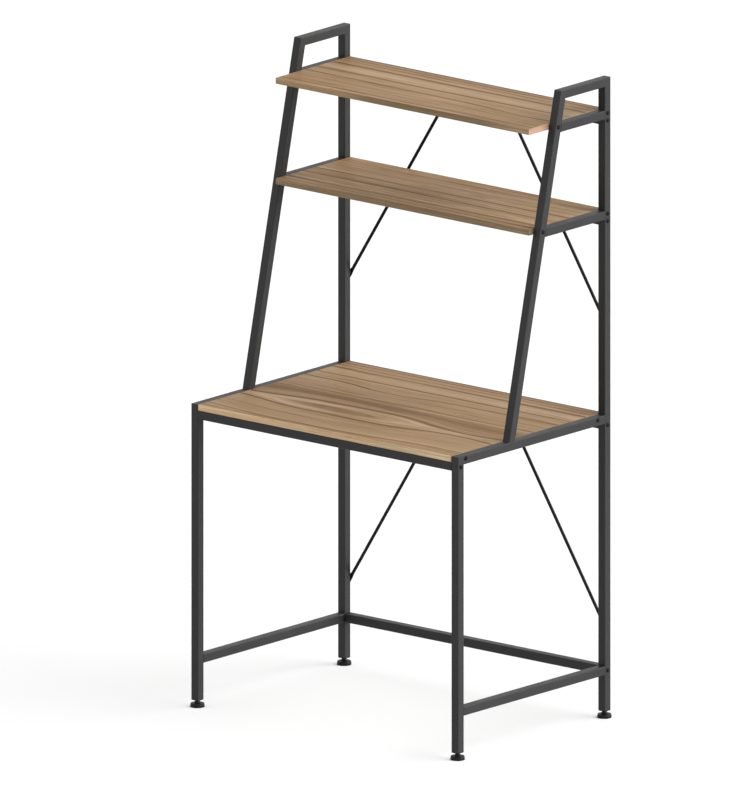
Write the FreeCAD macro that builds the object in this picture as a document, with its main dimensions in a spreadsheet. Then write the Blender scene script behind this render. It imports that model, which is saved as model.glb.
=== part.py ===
# Writing desk with a two-shelf hutch. Two welded side frames of square steel tube carry
# five bolted cross rails, three walnut-faced boards, four flat-ended brace rods and four
# levelling feet. Millimetres, +Z up, front towards -Y, origin on the floor at the middle.

import FreeCAD
import Part
import Sketcher
import os
import re

os.makedirs("parts", exist_ok=True)
doc = FreeCAD.newDocument("writing_desk")


# Driving sizes

SIZES = {
    # Overall frame
    "overall_width": 842,
    "overall_depth": 572,
    "desk_height": 754.5,
    "lower_shelf_gap": 492,
    "upper_shelf_gap": 235,
    "top_loop_height": 80.5,
    "foot_rail_clearance": 108,
    # Square tube stock
    "tube_size": 22,
    "tube_wall": 1.2,
    "tube_corner_radius": 2,
    # Reach of the top bar ahead of the posts' rear faces
    "top_bar_reach": 186.5,
    # Boards. The lower shelf stands ahead of the slanted uprights by the overhang
    "board_thickness": 15,
    "shelf_depth": 281,
    "shelf_overhang": 18,
    "edge_band_thickness": 1,
    "edge_band_rounding": 0.8,
    # Screws through the tubes into boards, rails and bushes
    "screw_diameter": 6,
    "screw_clearance": 0.5,
    "screw_head_diameter": 11,
    "screw_head_height": 2.4,
    "screw_head_bevel": 1.2,
    "screw_socket_width": 4,
    "screw_socket_depth": 1.6,
    "screw_reach": 15,
    "thread_clearance": 0.05,
    "desktop_front_screw_inset": 29,
    "desktop_rear_screw_inset": 48,
    "board_nut_diameter": 10,
    "board_nut_length": 13,
    "board_nut_drill_spare": 3,
    "rail_nut_length": 12,
    "rail_nut_clearance": 0.1,
    # Brace rods behind the frame
    "brace_diameter": 8,
    "brace_standoff": 0.3,
    "brace_plate_thickness": 3,
    "brace_plate_width": 14,
    "brace_plate_run": 13,
    "brace_flare": 16,
    "brace_top_spacing": 156,
    "brace_drop": 525,
    "brace_screw_reach": 10,
    "brace_bush_diameter": 9,
    "brace_bush_length": 9,
    # Levelling feet
    "leg_end_height": 17,
    "insert_flange": 3,
    "insert_flange_bevel": 1.2,
    "insert_depth": 20,
    "insert_clearance": 0.1,
    "insert_bush_diameter": 12,
    "insert_bush_length": 12,
    "insert_hole_clearance": 0.3,
    "foot_pad_diameter": 35,
    "foot_pad_height": 9.5,
    "foot_pad_floor": 2.5,
    "foot_pad_taper": 1,
    "foot_pad_bevel": 1,
    "foot_stud_diameter": 8,
    "foot_stud_reach": 33,
    "foot_collar_base_diameter": 15.5,
    "foot_collar_top_diameter": 10.4,
    "foot_neck_diameter": 7,
    "foot_head_diameter": 11,
    "foot_head_height": 3,
    "foot_running_clearance": 0.05,
    # How far every cut runs past the piece that it cuts
    "cut_overrun": 2,
}

sheet = doc.addObject("Spreadsheet::Sheet", "Sizes")
for row, (size_name, size_value) in enumerate(SIZES.items(), start=1):
    sheet.set(f"A{row}", size_name)
    sheet.set(f"B{row}", str(size_value))
    sheet.setAlias(f"B{row}", size_name)
doc.recompute()


def in_sheet(formula):
    """The formula with every size's name written as its cell in the sheet."""
    return re.sub(r"[a-z_]+", lambda word: "Sizes." + word[0] if word[0] in SIZES else word[0], formula)


def value_of(formula):
    return float(sheet.evalExpression(in_sheet(formula)))


def bind(item, property_path, formula):
    item.setExpression(property_path, in_sheet(formula))


# Places worked out from the sizes

half_tube = "(tube_size / 2)"
bore_width = "(tube_size - 2 * tube_wall)"
frame_x = "(overall_width / 2 - tube_size / 2)"
inner_width = "(overall_width - 2 * tube_size)"
rear_face = "(overall_depth / 2)"
leg_y = "(overall_depth / 2 - tube_size / 2)"
leg_foot = "(leg_end_height + insert_flange)"

lower_shelf_top = "(desk_height + lower_shelf_gap + board_thickness)"
upper_shelf_top = f"({lower_shelf_top} + upper_shelf_gap + board_thickness)"
frame_top = f"({upper_shelf_top} + top_loop_height)"
foot_rail_z = "(foot_rail_clearance + tube_size / 2)"
BOARD_TOPS = {
    "desk": "desk_height",
    "lower_shelf": lower_shelf_top,
    "upper_shelf": upper_shelf_top,
}


def rail_z(board_top):
    """Height of the middle of a cross rail that lies right under a board."""
    return f"({board_top} - board_thickness - tube_size / 2)"


def board_mid(board_top):
    return f"({board_top} - board_thickness / 2)"


# The slanted upright leans back by this angle, so that its front face runs from the overhang
# behind the lower shelf's front edge to the front end of the top bar.
lean_slope = f"((shelf_depth - shelf_overhang - top_bar_reach) / ({frame_top} - {lower_shelf_top}))"
lean = f"atan({lean_slope})"
upright_run = f"(tube_size / cos({lean}))"
upright_rise = f"({frame_top} - desk_height)"
upright_foot_reach = f"(top_bar_reach + {upright_rise} * {lean_slope})"
mitre_slope = f"((1 - sin({lean})) / cos({lean}))"


def upright_rear(height):
    """Depth at which the rear face of a slanted upright stands at a height."""
    return f"({rear_face} - {upright_foot_reach} + ({height} - desk_height) * {lean_slope} + {upright_run})"


# Sketch and feature helpers

SQUARE_TURN = "90"


def new_body(label):
    body = doc.addObject("PartDesign::Body", label)
    body.Label = label
    return body


def place(item, x="0", y="0", z="0", axis=FreeCAD.Vector(0, 0, 1), angle="0"):
    """Put a piece at a point given in formulas, turned about an axis by an angle in degrees."""
    item.Placement = FreeCAD.Placement(FreeCAD.Vector(), FreeCAD.Rotation(axis, value_of(angle)))
    for letter, formula in zip("xyz", (x, y, z)):
        bind(item, f"Placement.Base.{letter}", formula)
    if angle != "0":
        bind(item, "Placement.Rotation.Angle", angle)


def new_sketch(body, name, plane_role, lift="0"):
    """A sketch on one of the body's origin planes, moved along its normal by lift."""
    sketch = body.newObject("Sketcher::SketchObject", name)
    plane = next(item for item in body.Origin.OriginFeatures if item.Role == plane_role)
    sketch.AttachmentSupport = (plane, [""])
    sketch.MapMode = "FlatFace"
    if lift != "0":
        bind(sketch, "AttachmentOffset.Base.z", lift)
    return sketch


def dimension(sketch, kind, geometry, point, formula):
    index = sketch.addConstraint(Sketcher.Constraint(kind, geometry, point, value_of(formula)))
    bind(sketch, f"Constraints[{index}]", formula)


def fix_point(sketch, geometry, point, x, y):
    """Hold a point of the sketch at x, y, each a formula, on the axis where it is zero."""
    for kind, formula, axis_line in (("DistanceX", x, -2), ("DistanceY", y, -1)):
        if formula == "0":
            sketch.addConstraint(Sketcher.Constraint("PointOnObject", geometry, point, axis_line))
        else:
            dimension(sketch, kind, geometry, point, formula)


def draw_polygon(sketch, corners):
    """A closed outline through corners given as pairs of formulas."""
    spots = [FreeCAD.Vector(value_of(x), value_of(y), 0) for x, y in corners]
    count = len(spots)
    first = sketch.GeometryCount
    for number in range(count):
        sketch.addGeometry(Part.LineSegment(spots[number], spots[(number + 1) % count]))
    for number in range(count):
        following = first + (number + 1) % count
        sketch.addConstraint(Sketcher.Constraint("Coincident", first + number, 2, following, 1))
    for number, (x, y) in enumerate(corners):
        fix_point(sketch, first + number, 1, x, y)


def square_corners(width):
    half = f"({width} / 2)"
    return [(f"-{half}", f"-{half}"), (half, f"-{half}"), (half, half), (f"-{half}", half)]


def draw_circle(sketch, x, y, diameter):
    centre = FreeCAD.Vector(value_of(x), value_of(y), 0)
    radius = value_of(f"({diameter}) / 2")
    index = sketch.addGeometry(Part.Circle(centre, FreeCAD.Vector(0, 0, 1), radius))
    fix_point(sketch, index, 3, x, y)
    constraint = sketch.addConstraint(Sketcher.Constraint("Diameter", index, 2 * radius))
    bind(sketch, f"Constraints[{constraint}]", diameter)


def draw_rounded_square(sketch, width, radius):
    """A square about the origin with rounded corners: four lines joined by tangent arcs."""
    quarter = 90
    first = sketch.GeometryCount
    corner_signs = ((1, 1), (-1, 1), (-1, -1), (1, -1))
    reach = value_of(f"({width}) / 2 - ({radius})")
    bend = value_of(radius)
    for number, (sign_x, sign_y) in enumerate(corner_signs):
        centre = FreeCAD.Vector(sign_x * reach, sign_y * reach, 0)
        circle = Part.Circle(centre, FreeCAD.Vector(0, 0, 1), bend)
        start = FreeCAD.Units.Quantity(f"{number * quarter} deg").getValueAs("rad").Value
        stop = FreeCAD.Units.Quantity(f"{(number + 1) * quarter} deg").getValueAs("rad").Value
        sketch.addGeometry(Part.ArcOfCircle(circle, start, stop))
    for number in range(4):
        this_arc = sketch.Geometry[first + number]
        next_arc = sketch.Geometry[first + (number + 1) % 4]
        sketch.addGeometry(Part.LineSegment(this_arc.EndPoint, next_arc.StartPoint))
    for number in range(4):
        line = first + 4 + number
        sketch.addConstraint(Sketcher.Constraint("Tangent", first + number, 2, line, 1))
        sketch.addConstraint(Sketcher.Constraint("Tangent", line, 2, first + (number + 1) % 4, 1))
    for number in range(1, 4):
        sketch.addConstraint(Sketcher.Constraint("Equal", first, first + number))
    sketch.addConstraint(Sketcher.Constraint("Horizontal", first + 4))
    sketch.addConstraint(Sketcher.Constraint("Vertical", first + 5))
    index = sketch.addConstraint(Sketcher.Constraint("Radius", first, bend))
    bind(sketch, f"Constraints[{index}]", radius)
    for geometry, sign in ((first, 1), (first + 2, -1)):
        centre_reach = f"({sign} * (({width}) / 2 - ({radius})))"
        dimension(sketch, "DistanceX", geometry, 3, centre_reach)
        dimension(sketch, "DistanceY", geometry, 3, centre_reach)


def pad(body, sketch, length, reverse=False, symmetric=False):
    feature = body.newObject("PartDesign::Pad", sketch.Name + "_pad")
    feature.Profile = sketch
    feature.Reversed = reverse
    feature.SideType = "Symmetric" if symmetric else "One side"
    bind(feature, "Length", length)
    return feature


def pocket(body, sketch, length=None, reverse=False):
    """Cut the sketch to a depth, or right through both ways where no depth is given."""
    feature = body.newObject("PartDesign::Pocket", sketch.Name + "_pocket")
    feature.Profile = sketch
    feature.Reversed = reverse
    if length is None:
        feature.Type = "ThroughAll"
        feature.SideType = "Symmetric"
    else:
        bind(feature, "Length", length)
    return feature


def revolve(body, sketch):
    full_turn = 360
    feature = body.newObject("PartDesign::Revolution", sketch.Name + "_revolution")
    feature.Profile = sketch
    feature.ReferenceAxis = (sketch, ["V_Axis"])
    feature.Angle = full_turn
    return feature


def group(label, members):
    """Separate solids of one kind, kept together as one named node."""
    compound = doc.addObject("Part::Compound", label)
    compound.Label = label
    compound.Links = members
    return compound


nodes = []


# Square tube: a hollow section with rounded outer corners, run along the body's own Z and then cut and drilled

def square_tube(label, length, start="0"):
    body = new_body(label)
    section = new_sketch(body, label + "_section", "XY_Plane", start)
    draw_rounded_square(section, "tube_size", "tube_corner_radius")
    draw_polygon(section, square_corners(bore_width))
    pad(body, section, length)
    nodes.append(body)
    return body


def saw_cut(body, name, corners):
    """Take off an end across the tube's width. Corners are (across, along) in the frame's plane."""
    sketch = new_sketch(body, f"{body.Label}_{name}", "YZ_Plane")
    draw_polygon(sketch, corners)
    pocket(body, sketch)


def screw_holes(body, places):
    """Holes along X right through a tube, at places (across, along) in the frame's plane."""
    sketch = new_sketch(body, body.Label + "_screw_holes", "YZ_Plane")
    for across, along in places:
        draw_circle(sketch, across, along, "screw_diameter + screw_clearance")
    pocket(body, sketch)


def bush_holes(body, places):
    """Holes in the rear wall only, for the threaded bushes that hold the braces."""
    sketch = new_sketch(body, body.Label + "_bush_holes", "XZ_Plane")
    for along in places:
        draw_circle(sketch, "0", along, "brace_bush_diameter")
    pocket(body, sketch, f"{half_tube} + cut_overrun")


# Side frames: eight tubes each, mitred where two tubes meet at an outer corner

HALF_OUT = f"({half_tube} + cut_overrun)"
UP_TO_LEVEL = FreeCAD.Vector(-1, 0, 0)


def square_mitre(end, keep_side):
    """Corners of the wedge that a 45 degree cut takes off a tube's far end."""
    kept = f"{keep_side} * {HALF_OUT}"
    lost = f"{-keep_side} * {HALF_OUT}"
    top = f"{end} + cut_overrun"
    return [(kept, top), (lost, top), (lost, f"{end} - tube_size - cut_overrun")]


def front_leg(side, x):
    length = f"(desk_height - {leg_foot})"
    body = square_tube(f"{side}_front_leg", length)
    saw_cut(body, "mitre", square_mitre(length, -1))
    screw_holes(body, [("0", f"{rail_z('desk_height')} - {leg_foot}")])
    place(body, x, f"-{leg_y}", leg_foot)


def rear_post(side, x):
    length = f"({frame_top} - {leg_foot})"
    body = square_tube(f"{side}_rear_post", length)
    saw_cut(body, "mitre", square_mitre(length, 1))
    heights = [foot_rail_z]
    heights += [rail_z(top) for top in BOARD_TOPS.values()]
    heights += [board_mid(lower_shelf_top), board_mid(upper_shelf_top)]
    screw_holes(body, [("0", f"{height} - {leg_foot}") for height in heights])
    bush_holes(body, [f"{height} - {leg_foot}" for height in BRACE_FEET])
    place(body, x, leg_y, leg_foot)


def desk_side_rail(side, x):
    body = square_tube(f"{side}_desk_side_rail", "overall_depth - tube_size")
    start = "-cut_overrun"
    top_edge = f"-{HALF_OUT}"
    wedge = [(top_edge, start), (HALF_OUT, start), (HALF_OUT, "tube_size + cut_overrun")]
    saw_cut(body, "mitre", wedge)
    across = f"board_thickness / 2 - {half_tube}"
    rear_screw = "overall_depth - desktop_rear_screw_inset"
    screw_holes(body, [(across, "desktop_front_screw_inset"), (across, rear_screw)])
    place(body, x, f"-{rear_face}", f"desk_height - {half_tube}", UP_TO_LEVEL, SQUARE_TURN)


def foot_side_rail(side, x):
    body = square_tube(f"{side}_foot_side_rail", "overall_depth - 2 * tube_size")
    place(body, x, f"tube_size - {rear_face}", foot_rail_z, UP_TO_LEVEL, SQUARE_TURN)


def shelf_side_rail(side, x, name, shelf_top):
    """Runs from the leaning rear face of the upright to the front face of the post."""
    start = upright_rear(f"({shelf_top} - tube_size)")
    body = square_tube(f"{side}_{name}_side_rail", f"{rear_face} - tube_size - {start}")
    top_edge = f"-{HALF_OUT}"
    behind = f"-{HALF_OUT} * {lean_slope}"
    leaning_end = f"(tube_size + cut_overrun) * {lean_slope}"
    wedge = [(top_edge, leaning_end), (HALF_OUT, f"-cut_overrun * {lean_slope}"), (HALF_OUT, behind), (top_edge, behind)]
    saw_cut(body, "bevel", wedge)
    place(body, x, start, f"{shelf_top} - {half_tube}", UP_TO_LEVEL, SQUARE_TURN)


def top_bar(side, x):
    body = square_tube(f"{side}_top_bar", "top_bar_reach")
    saw_cut(body, "rear_mitre", square_mitre("top_bar_reach", -1))
    top_edge = f"-{HALF_OUT}"
    ahead = "-cut_overrun"
    near = f"-cut_overrun * {mitre_slope}"
    far = f"(tube_size + cut_overrun) * {mitre_slope}"
    saw_cut(body, "front_mitre", [(top_edge, near), (HALF_OUT, far), (HALF_OUT, ahead), (top_edge, ahead)])
    place(body, x, f"{rear_face} - top_bar_reach", f"{frame_top} - {half_tube}", UP_TO_LEVEL, SQUARE_TURN)


def slanted_upright(side, x):
    """Its foot is cut level to stand on the desk rail, and its top is mitred to the top bar."""
    start = f"(-{half_tube} * {lean_slope})"
    outer_top = f"(({upright_rise} - {half_tube} * sin({lean})) / cos({lean}))"
    body = square_tube(f"{side}_slanted_upright", f"{outer_top} - {start}", start)
    low = f"-{HALF_OUT}"
    foot_front = f"-{HALF_OUT} * {lean_slope}"
    foot_rear = f"{HALF_OUT} * {lean_slope}"
    saw_cut(body, "foot", [(low, foot_front), (HALF_OUT, foot_rear), (HALF_OUT, f"{start} - cut_overrun"),
                           (low, f"{start} - cut_overrun")])
    high = f"{outer_top} + cut_overrun * {mitre_slope}"
    inner_top = f"{outer_top} - (tube_size + cut_overrun) * {mitre_slope}"
    saw_cut(body, "mitre", [(low, high), (HALF_OUT, high), (HALF_OUT, inner_top)])
    heights = [board_mid(lower_shelf_top), board_mid(upper_shelf_top)]
    screw_holes(body, [("0", f"({height} - desk_height) / cos({lean})") for height in heights])
    place(body, x, f"{upright_rear('desk_height')} - {upright_run} / 2", "desk_height", UP_TO_LEVEL, lean)


BRACE_FEET = [f"{rail_z(top)} - brace_drop" for top in ("desk_height", upper_shelf_top)]
SIDES = {"left": f"-{frame_x}", "right": frame_x}
for side_name, side_x in SIDES.items():
    front_leg(side_name, side_x)
    rear_post(side_name, side_x)
    slanted_upright(side_name, side_x)
    top_bar(side_name, side_x)
    desk_side_rail(side_name, side_x)
    foot_side_rail(side_name, side_x)
    shelf_side_rail(side_name, side_x, "lower_shelf", lower_shelf_top)
    shelf_side_rail(side_name, side_x, "upper_shelf", upper_shelf_top)


# Cross rails, with a square nut held in each end

ACROSS = FreeCAD.Vector(0, 1, 0)
CROSS_RAILS = {
    "front_desk_rail": (f"-{leg_y}", rail_z("desk_height")),
    "rear_desk_rail": (leg_y, rail_z("desk_height")),
    "rear_foot_rail": (leg_y, foot_rail_z),
    "rear_lower_shelf_rail": (leg_y, rail_z(lower_shelf_top)),
    "rear_upper_shelf_rail": (leg_y, rail_z(upper_shelf_top)),
}
BRACED_RAILS = ("rear_desk_rail", "rear_upper_shelf_rail")
for rail_name, (rail_y, rail_height) in CROSS_RAILS.items():
    rail = square_tube(rail_name, inner_width)
    if rail_name in BRACED_RAILS:
        bush_holes(rail, [f"({inner_width} {sign} brace_top_spacing) / 2" for sign in "-+"])
    place(rail, f"-{inner_width} / 2", rail_y, rail_height, ACROSS, SQUARE_TURN)


def copies(master, label, spots, axis=FreeCAD.Vector(0, 0, 1), angle="0"):
    """Place like pieces at spots, each a triple of formulas."""
    made = []
    for number, (x, y, z) in enumerate(spots, start=1):
        copy = doc.addObject("App::Link", f"{label}_{number}")
        copy.LinkedObject = master
        place(copy, x, y, z, axis, angle)
        made.append(copy)
    return made


rail_nut = new_body("rail_nut")
nut_outline = new_sketch(rail_nut, "rail_nut_outline", "XY_Plane")
nut_width = f"({bore_width} - 2 * rail_nut_clearance)"
draw_polygon(nut_outline, square_corners(nut_width))
draw_circle(nut_outline, "0", "0", "screw_diameter + 2 * thread_clearance")
pad(rail_nut, nut_outline, "rail_nut_length")

left_ends = [(f"-{inner_width} / 2", y, z) for y, z in CROSS_RAILS.values()]
right_ends = [(f"{inner_width} / 2 - rail_nut_length", y, z) for y, z in CROSS_RAILS.values()]
nodes.append(group("rail_end_nuts", copies(rail_nut, "rail_nut", left_ends + right_ends, ACROSS, SQUARE_TURN)))


# Boards: a flat core, banded on its four edges, drilled at both ends for threaded inserts

def board(name, depth, rear_y, top, screw_rows):
    """rear_y is the board's rear edge, and screw_rows the depths of its screws."""
    middle_y = f"({rear_y} - ({depth}) / 2)"
    drill_depth = "board_nut_length + board_nut_drill_spare - edge_band_thickness"
    core_half = f"({inner_width} / 2 - edge_band_thickness)"
    core = new_body(name)
    outline = new_sketch(core, name + "_outline", "YZ_Plane")
    half_depth = f"(({depth}) / 2 - edge_band_thickness)"
    half_thick = "(board_thickness / 2)"
    draw_polygon(outline, [(f"-{half_depth}", f"-{half_thick}"), (half_depth, f"-{half_thick}"),
                           (half_depth, half_thick), (f"-{half_depth}", half_thick)])
    pad(core, outline, f"2 * {core_half}", symmetric=True)
    for end, sign in (("left", "-"), ("right", "")):
        drill = new_sketch(core, f"{name}_{end}_drilling", "YZ_Plane", f"{sign}{core_half}")
        for row_y in screw_rows:
            draw_circle(drill, f"{row_y} - {middle_y}", "0", "board_nut_diameter")
        pocket(core, drill, drill_depth, reverse=(end == "left"))
    place(core, "0", middle_y, board_mid(top))
    nodes.append(core)

    bands = []
    for edge, sign in (("front", -1), ("rear", 1)):
        strip = new_body(f"{name}_{edge}_band")
        section = new_sketch(strip, f"{name}_{edge}_band_section", "YZ_Plane")
        inside = f"{sign} * {half_depth}"
        shoulder = f"{sign} * (({depth}) / 2 - edge_band_rounding)"
        outside = f"{sign} * ({depth}) / 2"
        rounded = f"({half_thick} - edge_band_rounding)"
        draw_polygon(section, [(inside, f"-{half_thick}"), (shoulder, f"-{half_thick}"), (outside, f"-{rounded}"),
                               (outside, rounded), (shoulder, half_thick), (inside, half_thick)])
        pad(strip, section, inner_width, symmetric=True)
        place(strip, "0", middle_y, board_mid(top))
        bands.append(strip)
    for end, sign in (("left", "-"), ("right", "")):
        strip = new_body(f"{name}_{end}_band")
        face = new_sketch(strip, f"{name}_{end}_band_face", "YZ_Plane", f"{sign}{core_half}")
        draw_polygon(face, [(f"-{half_depth}", f"-{half_thick}"), (half_depth, f"-{half_thick}"),
                            (half_depth, half_thick), (f"-{half_depth}", half_thick)])
        for row_y in screw_rows:
            draw_circle(face, f"{row_y} - {middle_y}", "0", "board_nut_diameter")
        pad(strip, face, "edge_band_thickness", reverse=(end == "left"))
        place(strip, "0", middle_y, board_mid(top))
        bands.append(strip)
    nodes.append(group(f"{name}_edge_bands", bands))


def upright_middle(height):
    return f"({upright_rear(height)} - {upright_run} / 2)"


BOARD_SCREWS = {
    "desktop": (
        f"(desktop_front_screw_inset - {rear_face})",
        f"({rear_face} - desktop_rear_screw_inset)",
    ),
    "lower_shelf": (upright_middle(board_mid(lower_shelf_top)), leg_y),
    "upper_shelf": (upright_middle(board_mid(upper_shelf_top)), leg_y),
}
BOARDS = {
    "desktop": ("overall_depth", "desk_height"),
    "lower_shelf": ("shelf_depth", lower_shelf_top),
    "upper_shelf": ("shelf_depth", upper_shelf_top),
}
for board_name, (board_depth, board_top) in BOARDS.items():
    board(board_name, board_depth, rear_face, board_top, BOARD_SCREWS[board_name])


# Threaded inserts in the board ends: plain sleeves, flush with the edge

board_nut = new_body("board_nut")
sleeve_section = new_sketch(board_nut, "board_nut_section", "XY_Plane")
draw_circle(sleeve_section, "0", "0", "board_nut_diameter")
draw_circle(sleeve_section, "0", "0", "screw_diameter + 2 * thread_clearance")
pad(board_nut, sleeve_section, "board_nut_length")

left_rows = []
right_rows = []
for board_name, (board_depth, board_top) in BOARDS.items():
    for row_depth in BOARD_SCREWS[board_name]:
        left_rows.append((f"-{inner_width} / 2", row_depth, board_mid(board_top)))
        right_rows.append((f"{inner_width} / 2 - board_nut_length", row_depth, board_mid(board_top)))
nodes.append(group("board_insert_nuts", copies(board_nut, "board_nut", left_rows + right_rows, ACROSS, SQUARE_TURN)))


# Button-head screws with a hexagon socket. The head's underside is at zero and the shank runs up

def socket_screw(name, shank_length):
    body = new_body(name)
    outline = new_sketch(body, name + "_outline", "XZ_Plane")
    head_radius = "(screw_head_diameter / 2)"
    shank_radius = "(screw_diameter / 2)"
    draw_polygon(outline, [
        ("0", "-screw_head_height"),
        (f"{head_radius} - screw_head_bevel", "-screw_head_height"),
        (head_radius, "0"),
        (shank_radius, "0"),
        (shank_radius, shank_length),
        ("0", shank_length),
    ])
    revolve(body, outline)
    socket = new_sketch(body, name + "_socket", "XY_Plane", "-screw_head_height")
    hexagon_sides = 6
    side_angle = 360 / hexagon_sides
    corner_radius = f"(screw_socket_width / 2 / cos({side_angle / 2}))"
    draw_polygon(socket, [
        (f"{corner_radius} * cos({side_angle * corner})", f"{corner_radius} * sin({side_angle * corner})")
        for corner in range(hexagon_sides)
    ])
    pocket(body, socket, "screw_socket_depth", reverse=True)
    return body


INWARD_FROM_RIGHT = FreeCAD.Vector(0, -1, 0)
OUTER_LEFT = "-overall_width / 2"
OUTER_RIGHT = "overall_width / 2"


def screws_both_sides(master, label, rows):
    """One screw at each outer face, driven inward, for every (depth, height) in rows."""
    left = copies(master, label + "_left", [(OUTER_LEFT, y, z) for y, z in rows], ACROSS, SQUARE_TURN)
    right = copies(master, label + "_right", [(OUTER_RIGHT, y, z) for y, z in rows], INWARD_FROM_RIGHT, SQUARE_TURN)
    return left + right


long_screw = socket_screw("long_screw", "(tube_size + screw_reach)")
board_rows = []
for board_name, (board_depth, board_top) in BOARDS.items():
    board_rows += [(row_depth, board_mid(board_top)) for row_depth in BOARD_SCREWS[board_name]]
nodes.append(group("board_screws", screws_both_sides(long_screw, "board_screw", board_rows)))
nodes.append(group("rail_screws", screws_both_sides(long_screw, "rail_screw", list(CROSS_RAILS.values()))))


# Braces: round rods with crushed, drilled ends, screwed to the rear faces of rails and posts

brace_shift = f"({frame_x} - brace_top_spacing / 2)"
brace_span = f"sqrt({brace_shift} * {brace_shift} + brace_drop * brace_drop)"


def brace_end(body, name, outward, hole):
    """One crushed end: the rod slopes down to a flat tab, which widens from it and is drilled."""
    tab_edge = f"({hole} - {outward} * brace_plate_run)"
    rod_edge = f"({tab_edge} - {outward} * brace_flare)"
    past_edge = f"({tab_edge} + {outward} * cut_overrun)"
    flat = "brace_plate_thickness"
    rod_rear = "(brace_standoff + brace_diameter + cut_overrun)"
    slope = new_sketch(body, name + "_slope", "YZ_Plane")
    draw_polygon(slope, [(flat, past_edge), (flat, tab_edge), (rod_rear, rod_edge), (rod_rear, past_edge)])
    pocket(body, slope)
    half_tab = "(brace_plate_width / 2)"
    half_rod = "(brace_diameter / 2)"
    tab = new_sketch(body, name + "_tab", "XZ_Plane")
    draw_polygon(tab, [(f"-{half_tab}", hole), (f"-{half_tab}", tab_edge), (f"-{half_rod}", rod_edge),
                       (half_rod, rod_edge), (half_tab, tab_edge), (half_tab, hole)])
    pad(body, tab, flat, reverse=True)
    tip = new_sketch(body, name + "_tip", "XZ_Plane")
    draw_circle(tip, "0", hole, "brace_plate_width")
    pad(body, tip, flat, reverse=True)
    screw_hole = new_sketch(body, name + "_hole", "XZ_Plane")
    draw_circle(screw_hole, "0", hole, "screw_diameter + screw_clearance")
    pocket(body, screw_hole)


def brace(label, sign, top):
    """Local Z runs from the hole on the post to the hole on the rail, and local Y is rearward."""
    body = new_body(label)
    rod = new_sketch(body, label + "_rod", "XY_Plane", "brace_plate_run")
    draw_circle(rod, "0", "brace_diameter / 2 + brace_standoff", "brace_diameter")
    pad(body, rod, f"{brace_span} - 2 * brace_plate_run")
    brace_end(body, label + "_lower", -1, "0")
    brace_end(body, label + "_upper", 1, brace_span)
    turn_axis = FreeCAD.Vector(0, -sign, 0)
    place(body, f"{sign} * {frame_x}", rear_face, f"{rail_z(top)} - brace_drop", turn_axis,
          f"atan({brace_shift} / brace_drop)")
    nodes.append(body)


for level, board_top in (("upper", upper_shelf_top), ("lower", "desk_height")):
    brace(f"{level}_left_brace", -1, board_top)
    brace(f"{level}_right_brace", 1, board_top)


# Threaded bushes pressed into the rear walls, and the short screws that hold the braces

brace_spots = []
for board_top in (upper_shelf_top, "desk_height"):
    for sign in (-1, 1):
        brace_spots.append((f"{sign} * brace_top_spacing / 2", rail_z(board_top)))
        brace_spots.append((f"{sign} * {frame_x}", f"{rail_z(board_top)} - brace_drop"))

TO_THE_FRONT = FreeCAD.Vector(1, 0, 0)
brace_bush = new_body("brace_bush")
bush_section = new_sketch(brace_bush, "brace_bush_section", "XY_Plane")
draw_circle(bush_section, "0", "0", "brace_bush_diameter")
draw_circle(bush_section, "0", "0", "screw_diameter + 2 * thread_clearance")
pad(brace_bush, bush_section, "brace_bush_length")
bush_places = [(x, rear_face, z) for x, z in brace_spots]
nodes.append(group("brace_bushes", copies(brace_bush, "brace_bush", bush_places, TO_THE_FRONT, SQUARE_TURN)))

short_screw = socket_screw("short_screw", "(brace_plate_thickness + brace_screw_reach)")
screw_places = [(x, f"{rear_face} + brace_plate_thickness", z) for x, z in brace_spots]
nodes.append(group("brace_screws", copies(short_screw, "brace_screw", screw_places, TO_THE_FRONT, SQUARE_TURN)))


# Levelling feet: plastic insert in the leg end, threaded bush, stud with a cone collar, pad

CORNERS = {
    "front_left": (f"-{frame_x}", f"-{leg_y}"),
    "front_right": (frame_x, f"-{leg_y}"),
    "rear_left": (f"-{frame_x}", leg_y),
    "rear_right": (frame_x, leg_y),
}
bush_floor = "(insert_flange + insert_depth - insert_bush_length)"


def leg_insert(corner, x, y):
    label = corner + "_leg_insert"
    body = new_body(label)
    flange = new_sketch(body, label + "_flange", "XY_Plane")
    draw_rounded_square(flange, "tube_size", "tube_corner_radius")
    pad(body, flange, "insert_flange")
    plug = new_sketch(body, label + "_plug", "XY_Plane", "insert_flange")
    plug_width = f"({bore_width} - 2 * insert_clearance)"
    draw_polygon(plug, square_corners(plug_width))
    plug_pad = pad(body, plug, "insert_depth")
    doc.recompute()
    low_edges = []
    for number, edge in enumerate(body.Shape.Edges, start=1):
        if edge.BoundBox.ZMax < value_of("insert_flange / 2"):
            low_edges.append(f"Edge{number}")
    bevel = body.newObject("PartDesign::Chamfer", label + "_bevel")
    bevel.Base = (plug_pad, low_edges)
    bind(bevel, "Size", "insert_flange_bevel")
    stud_hole = new_sketch(body, label + "_stud_hole", "XY_Plane")
    draw_circle(stud_hole, "0", "0", "foot_stud_diameter + 2 * insert_hole_clearance")
    pocket(body, stud_hole, f"{bush_floor} + cut_overrun", reverse=True)
    bush_hole = new_sketch(body, label + "_bush_hole", "XY_Plane", bush_floor)
    draw_circle(bush_hole, "0", "0", "insert_bush_diameter")
    pocket(body, bush_hole, "insert_bush_length + cut_overrun", reverse=True)
    place(body, x, y, "leg_end_height")
    nodes.append(body)


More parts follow.
